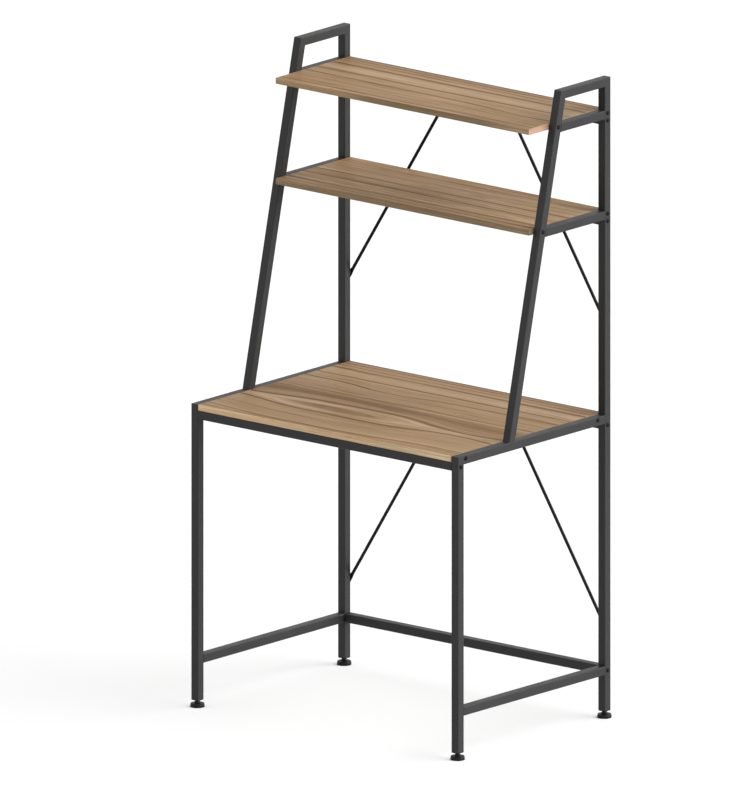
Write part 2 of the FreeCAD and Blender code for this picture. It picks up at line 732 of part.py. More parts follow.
def foot_pad(corner, x, y):
    """A low dish with a waisted socket that the stud's head snaps into and turns in."""
    label = corner + "_foot_pad"
    body = new_body(label)
    outline = new_sketch(body, label + "_outline", "XZ_Plane")
    pad_radius = "(foot_pad_diameter / 2)"
    rim_radius = f"({pad_radius} - foot_pad_taper)"
    neck_radius = "(foot_neck_diameter / 2 + foot_running_clearance)"
    head_radius = "(foot_head_diameter / 2 + foot_running_clearance)"
    socket_top = "(foot_pad_floor + foot_head_height + 2 * foot_running_clearance)"
    draw_polygon(outline, [
        ("0", "0"),
        (pad_radius, "0"),
        (rim_radius, "foot_pad_height - foot_pad_bevel"),
        (f"{rim_radius} - foot_pad_bevel", "foot_pad_height"),
        (neck_radius, "foot_pad_height"),
        (neck_radius, socket_top),
        (head_radius, socket_top),
        (head_radius, "foot_pad_floor"),
        ("0", "foot_pad_floor"),
    ])
    revolve(body, outline)
    place(body, x, y, "0")
    nodes.append(body)


def foot_stud(corner, x, y):
    """Head and neck in the pad, a cone collar that meets the leg end, and the threaded shank."""
    label = corner + "_foot_stud"
    body = new_body(label)
    outline = new_sketch(body, label + "_outline", "XZ_Plane")
    head_low = "(foot_pad_floor + foot_running_clearance)"
    head_high = f"({head_low} + foot_head_height)"
    stud_radius = "(foot_stud_diameter / 2)"
    tip = "(leg_end_height + foot_stud_reach)"
    draw_polygon(outline, [
        ("0", head_low),
        ("foot_head_diameter / 2", head_low),
        ("foot_head_diameter / 2", head_high),
        ("foot_neck_diameter / 2", head_high),
        ("foot_neck_diameter / 2", "foot_pad_height"),
        ("foot_collar_base_diameter / 2", "foot_pad_height"),
        ("foot_collar_top_diameter / 2", "leg_end_height"),
        (stud_radius, "leg_end_height"),
        (stud_radius, tip),
        ("0", tip),
    ])
    revolve(body, outline)
    place(body, x, y, "0")
    nodes.append(body)


insert_bush = new_body("insert_bush")
insert_bush_section = new_sketch(insert_bush, "insert_bush_section", "XY_Plane")
draw_circle(insert_bush_section, "0", "0", "insert_bush_diameter")
draw_circle(insert_bush_section, "0", "0", "foot_stud_diameter + 2 * thread_clearance")
pad(insert_bush, insert_bush_section, "insert_bush_length")

for corner_name, (corner_x, corner_y) in CORNERS.items():
    leg_insert(corner_name, corner_x, corner_y)
    foot_pad(corner_name, corner_x, corner_y)
    foot_stud(corner_name, corner_x, corner_y)
insert_bush_places = [(x, y, f"leg_end_height + {bush_floor}") for x, y in CORNERS.values()]
nodes.append(group("insert_bushes", copies(insert_bush, "insert_bush", insert_bush_places)))


# Checks and export

doc.recompute()
for item in doc.Objects:
    if "Invalid" in item.State or "Error" in item.State:
        raise RuntimeError(f"{item.Label} failed: {item.State}")
for node in nodes:
    if node.Shape.isNull() or not node.Shape.isValid():
        raise RuntimeError(f"{node.Label} has no valid shape")
for node in nodes:
    node.Shape.exportStep(f"parts/{node.Label}.step")
print(f"{len(nodes)} nodes written")
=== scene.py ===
from math import cos, pi, radians, sin

import bmesh
import bpy
from mathutils import Matrix, Vector


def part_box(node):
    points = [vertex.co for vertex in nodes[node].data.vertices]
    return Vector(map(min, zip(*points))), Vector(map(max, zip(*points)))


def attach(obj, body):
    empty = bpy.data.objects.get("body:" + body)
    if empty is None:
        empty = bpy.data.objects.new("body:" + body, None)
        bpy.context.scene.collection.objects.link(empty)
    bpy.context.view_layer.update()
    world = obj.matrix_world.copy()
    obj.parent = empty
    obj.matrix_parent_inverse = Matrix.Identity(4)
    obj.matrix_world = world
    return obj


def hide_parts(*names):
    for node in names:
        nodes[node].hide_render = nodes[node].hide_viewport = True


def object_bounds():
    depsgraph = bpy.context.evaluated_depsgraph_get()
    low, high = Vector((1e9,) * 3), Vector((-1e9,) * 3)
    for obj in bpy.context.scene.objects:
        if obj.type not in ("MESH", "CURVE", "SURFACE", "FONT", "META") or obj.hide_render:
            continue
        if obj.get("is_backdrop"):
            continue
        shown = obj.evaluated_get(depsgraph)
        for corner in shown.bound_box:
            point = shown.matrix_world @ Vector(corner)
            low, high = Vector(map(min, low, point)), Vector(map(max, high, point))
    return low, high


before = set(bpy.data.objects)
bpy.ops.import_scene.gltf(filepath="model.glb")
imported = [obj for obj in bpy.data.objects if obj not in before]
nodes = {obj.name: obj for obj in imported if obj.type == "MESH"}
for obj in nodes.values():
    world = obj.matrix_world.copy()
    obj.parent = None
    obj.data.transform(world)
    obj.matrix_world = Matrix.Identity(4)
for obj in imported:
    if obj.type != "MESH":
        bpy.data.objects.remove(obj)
cad_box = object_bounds()


# The camera. A parallel view from the front and right, 14 degrees above level, framed as tall as
# the picture's 800 pixels at 414.6 pixels to the metre.
PICTURE_TALL = 800 / 414.6
VIEW_AZIMUTH, VIEW_ELEVATION = 40.06, 14.0
VIEW_ACROSS, VIEW_UP, VIEW_BACK = -0.083, 0.7523, 6.0
QUARTER_TURN = 90


def turn(degrees, axis):
    return Matrix.Rotation(radians(degrees), 4, axis)


def add_object(name, data):
    """A new object of the data, put in the scene."""
    obj = bpy.data.objects.new(name, data)
    bpy.context.scene.collection.objects.link(obj)
    return obj


camera_data = bpy.data.cameras.new("studio_camera")
camera_data.type = "ORTHO"
camera_data.sensor_fit = "VERTICAL"
camera_data.ortho_scale = PICTURE_TALL
camera = add_object("studio_camera", camera_data)
view_turn = turn(VIEW_AZIMUTH, "Z") @ turn(QUARTER_TURN - VIEW_ELEVATION, "X")
view_place = view_turn @ Vector((VIEW_ACROSS, VIEW_UP, VIEW_BACK))
camera.matrix_world = Matrix.Translation(view_place) @ view_turn
bpy.context.scene.camera = camera
bpy.context.scene.view_settings.view_transform = "Standard"


# The two side frames: square steel tube with a 2 mm corner radius, mitred and welded, then
# ground flush and powder-coated satin black. The coat has a fine orange peel and lies a
# little duller in broad patches.
SIDE_TUBES = (
    "front_leg", "rear_post", "slanted_upright", "top_bar",
    "desk_side_rail", "foot_side_rail", "lower_shelf_side_rail", "upper_shelf_side_rail",
)
SCREEN_WHITE = 255
TOE_END, TOE_SLOPE = 0.04045, 12.92
CURVE_LIFT, CURVE_POWER = 0.055, 2.4
MIDDLE = 0.5


def colour(red, green, blue):
    """A screen colour of 0 to 255 as Blender's linear colour."""
    linear = []
    for channel in (red, green, blue):
        share = channel / SCREEN_WHITE
        curved = ((share + CURVE_LIFT) / (1 + CURVE_LIFT)) ** CURVE_POWER
        linear.append(share / TOE_SLOPE if share <= TOE_END else curved)
    return (*linear, 1.0)


def add_node(tree, kind, values=None, **settings):
    """A shader node. Each value goes into the socket of that name or number, by link or plainly."""
    made = tree.nodes.new("ShaderNode" + kind)
    for name, setting in settings.items():
        setattr(made, name, setting)
    for name, value in (values or {}).items():
        if isinstance(value, bpy.types.NodeSocket):
            tree.links.new(value, made.inputs[name])
        else:
            made.inputs[name].default_value = value
    return made


def calc(tree, operation, first, second=0.0, third=0.0):
    return add_node(tree, "Math", {0: first, 1: second, 2: third}, operation=operation).outputs[0]


def fade(tree, value, start, stop, low=0.0, high=1.0):
    """The value's smooth change from low at start to high at stop."""
    levels = {"Value": value, "From Min": start, "From Max": stop, "To Min": low, "To Max": high}
    return add_node(tree, "MapRange", levels, interpolation_type="SMOOTHSTEP").outputs[0]


def ramp(tree, value, stops):
    """A colour ramp through stops of (place, colour)."""
    made = add_node(tree, "ValToRGB", {"Fac": value})
    elements = made.color_ramp.elements
    while len(elements) < len(stops):
        elements.new(MIDDLE)
    for element, (place, shade) in zip(elements, stops):
        element.position = place
        element.color = shade
    return made.outputs["Color"]


def new_group(name, inputs, outputs):
    """A shader node group with sockets of (name, kind, default), and its two end nodes."""
    tree = bpy.data.node_groups.new(name, "ShaderNodeTree")
    for title, kind, default in inputs:
        socket = tree.interface.new_socket(title, in_out="INPUT", socket_type="NodeSocket" + kind)
        if default is not None:
            socket.default_value = default
    for title, kind in outputs:
        tree.interface.new_socket(title, in_out="OUTPUT", socket_type="NodeSocket" + kind)
    return tree, tree.nodes.new("NodeGroupInput").outputs, tree.nodes.new("NodeGroupOutput").inputs


def use_group(tree, group, values):
    return add_node(tree, "Group", values, node_tree=group).outputs


def new_material(name, **plain):
    """A material with its Principled shader, whose plain values are set on its sockets."""
    material = bpy.data.materials.new(name)
    material.use_nodes = True
    tree = material.node_tree
    shader = tree.nodes["Principled BSDF"]
    for title, value in plain.items():
        shader.inputs[title.replace("_", " ")].default_value = value
    return material, tree, shader


def finish_with(obj, material):
    """Give the whole object the one finish."""
    if not obj.material_slots:
        obj.data.materials.append(material)
    for holder in obj.material_slots:
        holder.material = material


# Fine bumps and broad cloudiness, which every coated, plated or moulded surface here has
grain_group, given, result = new_group(
    "fine_grain",
    [("Grain Scale", "Float", 1800.0), ("Cloud Scale", "Float", 14.0)],
    [("Height", "Float"), ("Cloud", "Float")],
)
spot = add_node(grain_group, "TexCoord").outputs["Object"]
peel = {"Vector": spot, "Scale": given["Grain Scale"], "Detail": 1.5, "Roughness": 0.55}
broad = {"Vector": spot, "Scale": given["Cloud Scale"], "Detail": 3.0, "Roughness": 0.6}
grain_group.links.new(add_node(grain_group, "TexNoise", peel).outputs[0], result["Height"])
grain_group.links.new(add_node(grain_group, "TexNoise", broad).outputs[0], result["Cloud"])
CLOUD_LOW, CLOUD_HIGH = 0.3, 0.7
DULL_SWING = 0.04


def clouded(tree, shader, cloud, dark, pale, smooth, dull):
    """Give a surface its colour from dark to pale, and its roughness, by the cloudiness."""
    shade = ramp(tree, cloud, ((CLOUD_LOW, dark), (CLOUD_HIGH, pale)))
    tree.links.new(shade, shader.inputs["Base Color"])
    roughness = fade(tree, cloud, CLOUD_LOW, CLOUD_HIGH, smooth, dull)
    tree.links.new(roughness, shader.inputs["Roughness"])


def black_finish(name, dark, pale, rough, grain_scale, depth, specular):
    """A black surface between two screen greys, with its grain's waves to the metre and depth."""
    material, tree, shader = new_material(name, Specular_IOR_Level=specular)
    grain = use_group(tree, grain_group, {"Grain Scale": grain_scale})
    greys = colour(dark, dark, dark), colour(pale, pale, pale)
    clouded(tree, shader, grain["Cloud"], *greys, rough - DULL_SWING, rough + DULL_SWING)
    bump = add_node(tree, "Bump", {"Height": grain["Height"], "Strength": 1.0, "Distance": depth})
    tree.links.new(bump.outputs[0], shader.inputs["Normal"])
    return material


powder_coat = black_finish(
    "black_powder_coat", dark=32, pale=37, rough=0.48, grain_scale=1700.0, depth=0.00002, specular=0.3,
)
for side in ("left", "right"):
    for tube in SIDE_TUBES:
        finish_with(nodes[f"{side}_{tube}"], powder_coat)


# The five cross rails: the same tube, cut square and bolted between the side frames. Each end
# holds a square zinc-plated nut, out of sight in the bore. The other hidden nuts and bushes are
# plated alike.
for place in ("front_desk", "rear_desk", "rear_foot", "rear_lower_shelf", "rear_upper_shelf"):
    finish_with(nodes[place + "_rail"], powder_coat)

ZINC_GRAIN = {"Grain Scale": 900.0, "Cloud Scale": 160.0}
ZINC_DARK, ZINC_PALE = colour(150, 152, 155), colour(186, 188, 190)
ZINC_SMOOTH, ZINC_DULL = 0.28, 0.42
zinc_plate, tree, shader = new_material("zinc_plate", Metallic=1.0)
grain = use_group(tree, grain_group, ZINC_GRAIN)
clouded(tree, shader, grain["Cloud"], ZINC_DARK, ZINC_PALE, ZINC_SMOOTH, ZINC_DULL)
for fitting in ("rail_end_nuts", "board_insert_nuts", "brace_bushes", "insert_bushes"):
    finish_with(nodes[fitting], zinc_plate)


# The desktop and the two shelves: 15 mm particle board faced with a printed walnut foil under
# a matt melamine skin. One long lens of flat-sawn figure lies ahead of the middle of the
# desktop, and the rings bow round it. The shelves carry other parts of the same print, mirrored.
walnut_group, given, result = new_group(
    "walnut_figure",
    [
        ("Vector", "Vector", None), ("Boldness", "Float", 1.0), ("Streaks", "Float", 1.0),
        ("Tint", "Color", (1.0, 1.0, 1.0, 1.0)),
    ],
    [("Color", "Color"), ("Height", "Float"), ("Pores", "Float")],
)


def streaks(tree, vector, along, across, detail):
    """Noise drawn out along the grain, about zero: so many waves to the metre each way."""
    drawn = add_node(tree, "Mapping", {"Vector": vector, "Scale": (along, across, across)}).outputs[0]
    levels = {"Vector": drawn, "Scale": 1.0, "Detail": detail, "Roughness": 0.6}
    return calc(tree, "SUBTRACT", add_node(tree, "TexNoise", levels).outputs[0], MIDDLE)


def hill(tree, value, middle, width):
    """A smooth bump of height 1 about the middle."""
    away = calc(tree, "DIVIDE", calc(tree, "SUBTRACT", value, middle), width)
    return calc(tree, "EXPONENT", calc(tree, "MULTIPLY", calc(tree, "MULTIPLY", away, away), -1.0))


def mix_colours(tree, share, first, second, blend="MIX"):
    sockets = {0: share, 6: first, 7: second}
    return add_node(tree, "Mix", sockets, data_type="RGBA", blend_type=blend).outputs[2]


tree = walnut_group
axes = add_node(tree, "SeparateXYZ", {0: given["Vector"]}).outputs
along, across = axes["X"], axes["Y"]

# How far the lens pushes the rings apart: less towards the front, and nothing far behind it
LENS_ALONG, LENS_ACROSS = -0.105, -0.111
BOW_MOST, BOW_SOFTNESS = 0.040, 0.042
BOW_ENDS_BEHIND, BOW_EASES_AHEAD, BOW_LEFT_AHEAD = (0.05, 0.14), (-0.15, -0.05), 0.6
off_centre = calc(tree, "SUBTRACT", across, LENS_ACROSS)
spread = calc(tree, "TANH", calc(tree, "DIVIDE", off_centre, BOW_SOFTNESS))
spread = calc(tree, "MULTIPLY", spread, BOW_MOST)
spread = calc(tree, "MULTIPLY", spread, fade(tree, off_centre, *BOW_ENDS_BEHIND, 1.0, 0.0))
spread = calc(tree, "MULTIPLY", spread, fade(tree, off_centre, *BOW_EASES_AHEAD, BOW_LEFT_AHEAD, 1.0))

# The rings close again at the lens's two ends, draw in to its right and open once more
BOW_ALONG, BOW_REACH, BOW_SQUARENESS = -0.08, 0.27, 4.0
PINCH_ALONG, PINCH_REACH, PINCH_SHARE, PINCH_WIDTH = 0.28, 0.07, 0.27, 0.05
NEXT_LENS_ALONG, NEXT_LENS_REACH, NEXT_LENS_SHARE = 0.46, 0.1, -0.6
next_lens = hill(tree, along, NEXT_LENS_ALONG, NEXT_LENS_REACH)
next_lens = calc(tree, "MULTIPLY", next_lens, NEXT_LENS_SHARE)
pinch = hill(tree, along, PINCH_ALONG, PINCH_REACH)
pinch = calc(tree, "MULTIPLY_ADD", pinch, PINCH_SHARE, next_lens)
pinch = calc(tree, "MULTIPLY", pinch, hill(tree, off_centre, 0.0, PINCH_WIDTH))
from_lens = calc(tree, "DIVIDE", calc(tree, "SUBTRACT", along, BOW_ALONG), BOW_REACH)
opening = calc(tree, "MULTIPLY", calc(tree, "POWER", from_lens, BOW_SQUARENESS), -1.0)
opening = calc(tree, "SUBTRACT", calc(tree, "EXPONENT", opening), pinch)
spread = calc(tree, "MULTIPLY", spread, opening)

# One ring sags behind the lens and all of them waver. What is left is where each point would
# lie if the rings ran straight
SAG_ACROSS, SAG_WIDTH, SAG_ALONG, SAG_REACH, SAG_DEPTH = 0.095, 0.03, -0.11, 0.12, 0.022
WAVER_WAVES, WAVER_DEPTH = (2.2, 9.0, 2.0), 0.014
sag = hill(tree, across, SAG_ACROSS, SAG_WIDTH)
sag = calc(tree, "MULTIPLY", sag, hill(tree, along, SAG_ALONG, SAG_REACH))
bow = calc(tree, "SUBTRACT", spread, calc(tree, "MULTIPLY", sag, SAG_DEPTH))
waver = calc(tree, "MULTIPLY", streaks(tree, given["Vector"], *WAVER_WAVES), WAVER_DEPTH)
flat_place = calc(tree, "ADD", calc(tree, "SUBTRACT", across, bow), waver)
flat_spot = add_node(tree, "CombineXYZ", {"X": along, "Y": flat_place}).outputs[0]

# The growth rings as one curve from the board's front to its rear: each place in millimetres,
# and how pale the wood is there
FIGURE_SPAN = 0.6
PER_METRE = 1000
RINGS = (
    (-286, 0.60), (-258, 0.68), (-249, 0.74), (-244, 0.10), (-239, 0.84), (-226, 0.72),
    (-200, 0.66), (-186, 0.66), (-182, 0.62), (-177, 0.68), (-150, 0.70), (-132, 0.72),
    (-127, 0.04), (-122, 0.84), (-110, 0.92), (-98, 0.82), (-92, 0.06), (-87, 0.60),
    (-76, 0.60), (-52, 0.56), (-42, 0.44), (-20, 0.42), (0, 0.50), (14, 0.62), (22, 0.34),
    (29, 0.66), (55, 0.66), (80, 0.66), (107, 0.82), (113, 0.20), (119, 0.68), (150, 0.74),
    (156, 0.66), (160, 0.20), (165, 0.70), (181, 0.88), (204, 0.86), (213, 0.66), (221, 0.20),
    (228, 0.76), (241, 0.70), (245, 0.28), (250, 0.72), (259, 0.68), (264, 0.24), (270, 0.66),
    (280, 0.60),
)
CALM_LEVEL = 0.64
UNEVEN_WAVES, UNEVEN_SHARE = (4.0, 18.0, 2.0), 1.3
ring_place = calc(tree, "MULTIPLY_ADD", flat_place, 1 / FIGURE_SPAN, MIDDLE)
rings = add_node(tree, "FloatCurve", {"Value": ring_place})
curve = rings.mapping.curves[0]
while len(curve.points) < len(RINGS):
    curve.points.new(MIDDLE, MIDDLE)
for point, (place, height) in zip(curve.points, RINGS):
    point.location = (MIDDLE + place / PER_METRE / FIGURE_SPAN, height)
rings.mapping.update()
uneven = streaks(tree, given["Vector"], *UNEVEN_WAVES)
uneven = calc(tree, "MULTIPLY_ADD", uneven, UNEVEN_SHARE, 1.0)
level = calc(tree, "SUBTRACT", rings.outputs[0], CALM_LEVEL)
level = calc(tree, "MULTIPLY_ADD", level, calc(tree, "MULTIPLY", given["Boldness"], uneven), CALM_LEVEL)

# Between the rings, streaks of (waves along, waves across, strength), and dark lines of (waves
# along, waves across, width, strength)
STREAK_DETAIL, LINE_DETAIL = 2.0, 1.0
STREAK_LAYERS = (
    (1.3, 42.0, 0.34), (1.8, 105.0, 0.3), (3.5, 190.0, 0.4), (9.0, 600.0, 0.3), (22.0, 420.0, 0.2),
)
LINE_LAYERS = ((0.8, 34.0, 0.03, 0.26), (1.8, 95.0, 0.05, 0.16))
for waves_along, waves_across, strength in STREAK_LAYERS:
    strength = calc(tree, "MULTIPLY", given["Streaks"], strength)
    layer = streaks(tree, flat_spot, waves_along, waves_across, STREAK_DETAIL)
    level = calc(tree, "MULTIPLY_ADD", layer, strength, level)
for waves_along, waves_across, width, strength in LINE_LAYERS:
    crossing = calc(tree, "ABSOLUTE", streaks(tree, flat_spot, waves_along, waves_across, LINE_DETAIL))
    level = calc(tree, "SUBTRACT", level, fade(tree, crossing, 0.0, width, strength, 0.0))

# The dark heartwood behind the lens and the pale line beside it, then the lens's own dark core
HEART_ACROSS, HEART_WIDTH = -0.034, 0.028
HEART_FADES, HEART_AT_LEFT, HEART_AT_RIGHT = (-0.15, 0.25), 0.22, 0.14
PALE_ACROSS, PALE_WIDTH, PALE_STRENGTH = 0.013, 0.005, 0.36
PALE_STARTS, PALE_ENDS = (-0.03, 0.08), (0.45, 0.6)
CORE_REACH, CORE_WIDTH, CORE_EDGES, CORE_DEPTH = 0.175, 0.021, (0.1, 1.4), 0.62
heartwood = hill(tree, flat_place, HEART_ACROSS, HEART_WIDTH)
heart_strength = fade(tree, along, *HEART_FADES, HEART_AT_LEFT, HEART_AT_RIGHT)
heartwood = calc(tree, "MULTIPLY", heartwood, heart_strength)
level = calc(tree, "SUBTRACT", level, calc(tree, "MULTIPLY", heartwood, given["Boldness"]))
pale_line = hill(tree, across, PALE_ACROSS, PALE_WIDTH)
pale_line = calc(tree, "MULTIPLY", pale_line, fade(tree, along, *PALE_STARTS))
pale_line = calc(tree, "MULTIPLY", pale_line, fade(tree, along, *PALE_ENDS, PALE_STRENGTH, 0.0))
level = calc(tree, "ADD", level, pale_line)
core_along = calc(tree, "DIVIDE", calc(tree, "SUBTRACT", along, LENS_ALONG), CORE_REACH)
core_across = calc(tree, "DIVIDE", off_centre, CORE_WIDTH)
core_along = calc(tree, "MULTIPLY", core_along, core_along)
core_across = calc(tree, "MULTIPLY", core_across, core_across)
core = calc(tree, "ADD", core_along, core_across)
level = calc(tree, "SUBTRACT", level, fade(tree, core, *CORE_EDGES, CORE_DEPTH, 0.0))

# The pores, and the wood's colours from its darkest to its palest
PORE_WAVES, PORE_EDGES, PORE_SHADE, PORE_DEPTH = (34.0, 1500.0, 1.0), (0.08, 0.2), 0.22, 0.6
WALNUT = (
    (0.0, colour(100, 69, 34)), (0.3, colour(125, 95, 59)), (0.45, colour(139, 109, 74)),
    (0.62, colour(152, 123, 89)), (0.75, colour(159, 131, 98)), (0.9, colour(169, 142, 110)),
    (1.0, colour(180, 153, 123)),
)
pores = fade(tree, streaks(tree, flat_spot, *PORE_WAVES), *PORE_EDGES)
level = calc(tree, "SUBTRACT", level, calc(tree, "MULTIPLY", pores, PORE_SHADE))
tinted = mix_colours(tree, 1.0, ramp(tree, level, WALNUT), given["Tint"], "MULTIPLY")
relief = calc(tree, "SUBTRACT", level, calc(tree, "MULTIPLY", pores, PORE_DEPTH))
tree.links.new(tinted, result["Color"])
tree.links.new(relief, result["Height"])
tree.links.new(pores, result["Pores"])

FOIL_SPECULAR, FOIL_SMOOTH, FOIL_DULL = 0.2, 0.56, 0.66
FOIL_RELIEF = {"Strength": 0.6, "Distance": 0.00005}


def walnut(name, boldness, streaky, vector_of, tint_of):
    """A foil finish whose grain vector and tint are wired by two small functions of its tree."""
    material, tree, shader = new_material(name, Specular_IOR_Level=FOIL_SPECULAR)
    spot = add_node(tree, "TexCoord").outputs["Object"]
    figure = use_group(tree, walnut_group, {
        "Vector": vector_of(tree, spot), "Boldness": boldness,
        "Streaks": streaky, "Tint": tint_of(tree, spot),
    })
    tree.links.new(figure["Color"], shader.inputs["Base Color"])
    roughness = fade(tree, figure["Pores"], 0.0, 1.0, FOIL_SMOOTH, FOIL_DULL)
    tree.links.new(roughness, shader.inputs["Roughness"])
    bump = add_node(tree, "Bump", {"Height": figure["Height"], **FOIL_RELIEF})
    tree.links.new(bump.outputs[0], shader.inputs["Normal"])
    return material


# How each board's foil lies over the print: mirrored or not, then moved. Then how boldly its
# rings and its fine streaks are printed, and how pale it is
FOIL_LAY = {
    "desktop": ((1.0, 1.0, 1.0), (0.0, 0.0, 0.0), 1.1, 1.1, 1.0),
    # The lower shelf's paleness is partly its own lighter print and partly painted light, lifting the
    # shade that the upper shelf casts on it
    "lower_shelf": ((1.0, -1.0, 1.0), (1.15, 0.268, 0.0), 0.95, 2.7, 1.16),
    "upper_shelf": ((-1.0, 1.0, 1.0), (0.2, 0.0, 0.0), 1.1, 1.1, 0.89),
}
for board, (flip, move, boldness, streaky, pale) in FOIL_LAY.items():
    def lay(tree, spot, flip=flip, move=move):
        return add_node(tree, "Mapping", {"Vector": spot, "Scale": flip, "Location": move}).outputs[0]

    def shade(tree, spot, pale=pale):
        return (pale, pale, pale, 1.0)

    finish_with(nodes[board], walnut(board + "_foil", boldness, streaky, lay, shade))


# The edge bands: 1 mm walnut-print strip ironed on all round each board and rounded over. Its
# grain runs lengthwise, and each strip comes off the roll in its own shade. The front strips also
# carry painted shade that darkens them towards their right ends.
BAND_TINTS = {
    "desktop": {
        "front": (2.12, 2.32, 2.6, 1.0), "ends": (2.32, 2.54, 2.82, 1.0), "sides": (1.1, 1.1, 1.05, 1.0),
    },
    "lower_shelf": {
        "front": (0.86, 0.9, 0.97, 1.0), "ends": (0.9, 0.94, 1.0, 1.0), "sides": (0.62, 0.72, 0.86, 1.0),
    },
    "upper_shelf": {
        "front": (0.82, 0.85, 0.87, 1.0), "ends": (1.3, 1.34, 1.36, 1.0), "sides": (1.34, 1.3, 1.75, 1.0),
    },
}
REAR_BAND_TINT = (1.0, 0.98, 0.96, 1.0)
BAND_DEPTH, BAND_GRAIN_DROP = 0.0012, 0.2
ENDS_MIDDLE, ENDS_FADES = 0.08, (0.15, 0.3)
# Painted shade on the front bands: from full tint at the first place to this share at the second, towards
# the right, where the frame hides less of the right-hand lamp
RIGHT_PAINTED_SHADE_FADES, RIGHT_PAINTED_SHADE = (0.1, 0.25), 0.88
BAND_BOLDNESS, BAND_STREAKY = 0.6, 1.5
for board, shades in BAND_TINTS.items():
    low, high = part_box(board + "_edge_bands")

    def at_side(tree, spot, high=high):
        off_middle = calc(tree, "ABSOLUTE", add_node(tree, "SeparateXYZ", {0: spot}).outputs["X"])
        return calc(tree, "GREATER_THAN", off_middle, high.x - BAND_DEPTH)

    def lengthwise(tree, spot, high=high, at_side=at_side):
        axes = add_node(tree, "SeparateXYZ", {0: spot}).outputs
        run = add_node(tree, "Mix", {0: at_side(tree, spot), 2: axes["X"], 3: axes["Y"]}).outputs[0]
        up = calc(tree, "SUBTRACT", axes["Z"], high.z - BAND_GRAIN_DROP)
        return add_node(tree, "CombineXYZ", {"X": run, "Y": up}).outputs[0]

    def tint_and_painted_shade(tree, spot, low=low, shades=shades, at_side=at_side):
        axes = add_node(tree, "SeparateXYZ", {0: spot}).outputs
        at_front = calc(tree, "LESS_THAN", axes["Y"], low.y + BAND_DEPTH)
        off_middle = calc(tree, "ABSOLUTE", calc(tree, "SUBTRACT", axes["X"], ENDS_MIDDLE))
        near_end = fade(tree, off_middle, *ENDS_FADES)
        # Painted shade: each front band grows darker towards its right end
        right_painted_shade = fade(tree, axes["X"], *RIGHT_PAINTED_SHADE_FADES, 1.0, RIGHT_PAINTED_SHADE)
        front = mix_colours(tree, near_end, shades["front"], shades["ends"])
        front = mix_colours(tree, 1.0, front, right_painted_shade, "MULTIPLY")
        shade = mix_colours(tree, at_front, REAR_BAND_TINT, front)
        return mix_colours(tree, at_side(tree, spot), shade, shades["sides"])

    foil = walnut(board + "_band", BAND_BOLDNESS, BAND_STREAKY, lengthwise, tint_and_painted_shade)
    finish_with(nodes[board + "_edge_bands"], foil)


# The socket screws: M6 button heads of blackened steel, threaded into the board inserts and
# the cross rails' nuts through the side tubes. Modelled upright at the origin and then turned in.
SCREW_HEAD = ((2.9, 2.4), (3.9, 2.2), (4.75, 1.74), (5.3, 1.05), (5.5, 0.5), (5.4, 0.0), (3.0, 0.0))
SOCKET_ACROSS, SOCKET_DEPTH, SOCKET_CORNERS = 0.004, 0.0016, 6
SOCKET_SLOT = 1
SHANK_RADIUS, CORE_RADIUS, TIP_RADIUS = 0.003, 0.0024, 0.0016
SHOULDER_LONG, TIP_LONG = 0.0006, 0.001
SCREW_THREAD = {"crest": 0.00295, "root": 0.00235, "pitch": 0.001, "steps": 18}
THREAD_FROM_TIP, THREAD_FROM_SHOULDER = 0.0006, 0.0003
THREAD_FLANK, THREAD_LEAD, THREAD_SPARE_TURNS = 0.44, 1.5, 4
ROUND_STEPS = 24
MERGE_DISTANCE = 1e-6
SMOOTH_ANGLE = 35


def of_kind(kind, made):
    """The vertices, edges or faces among what an operator made."""
    return [item for item in made if isinstance(item, kind)]


def draw_loop(bm, edges, radius, height):
    """Extrude a ring of edges about Z to a new radius and height, and give the new ring."""
    made = bmesh.ops.extrude_edge_only(bm, edges=edges)["geom"]
    points = of_kind(bmesh.types.BMVert, made)
    old = points[0].co.to_2d().length
    bmesh.ops.scale(bm, vec=(radius / old, radius / old, 1.0), verts=points)
    bmesh.ops.translate(bm, vec=(0.0, 0.0, height - points[0].co.z), verts=points)
    return of_kind(bmesh.types.BMEdge, made)


def ring(bm, radius, height, steps=ROUND_STEPS):
    """The edges of a circle about Z, each once and always in the same order."""
    raised = Matrix.Translation((0, 0, height))
    points = bmesh.ops.create_circle(bm, segments=steps, radius=radius, matrix=raised)["verts"]
    return list(dict.fromkeys(e for v in points for e in v.link_edges))


def thread(bm, crest, root, pitch, steps, bottom, top):
    """A right-hand screw thread about Z, closed by a flat at each end."""
    flank = THREAD_FLANK * pitch
    profile = ((root, 0.0), (crest, flank), (crest, pitch - flank), (root, pitch))
    start = bottom - THREAD_LEAD * pitch
    points = [bm.verts.new((radius, 0.0, start + height)) for radius, height in profile]
    edges = [bm.edges.new(pair) for pair in zip(points, points[1:])]
    turns = int((top - bottom) / pitch) + THREAD_SPARE_TURNS
    bmesh.ops.spin(
        bm, geom=points + edges, cent=(0, 0, 0), axis=(0, 0, 1), dvec=(0, 0, pitch / steps),
        angle=2 * pi * turns, steps=turns * steps,
    )
    bmesh.ops.remove_doubles(bm, verts=bm.verts, dist=MERGE_DISTANCE)
    for height, cut in ((bottom, {"clear_inner": True}), (top, {"clear_outer": True})):
        everything = bm.verts[:] + bm.edges[:] + bm.faces[:]
        bmesh.ops.bisect_plane(
            bm, geom=everything, plane_co=(0, 0, height), plane_no=(0, 0, 1), **cut,
        )
    bmesh.ops.holes_fill(bm, edges=[e for e in bm.edges if e.is_boundary])


def to_mesh(bm, name):
    """The bmesh as a mesh, with its faces pointing outwards."""
    bmesh.ops.recalc_face_normals(bm, faces=bm.faces)
    mesh = bpy.data.meshes.new(name)
    bm.to_mesh(mesh)
    bm.free()
    return mesh


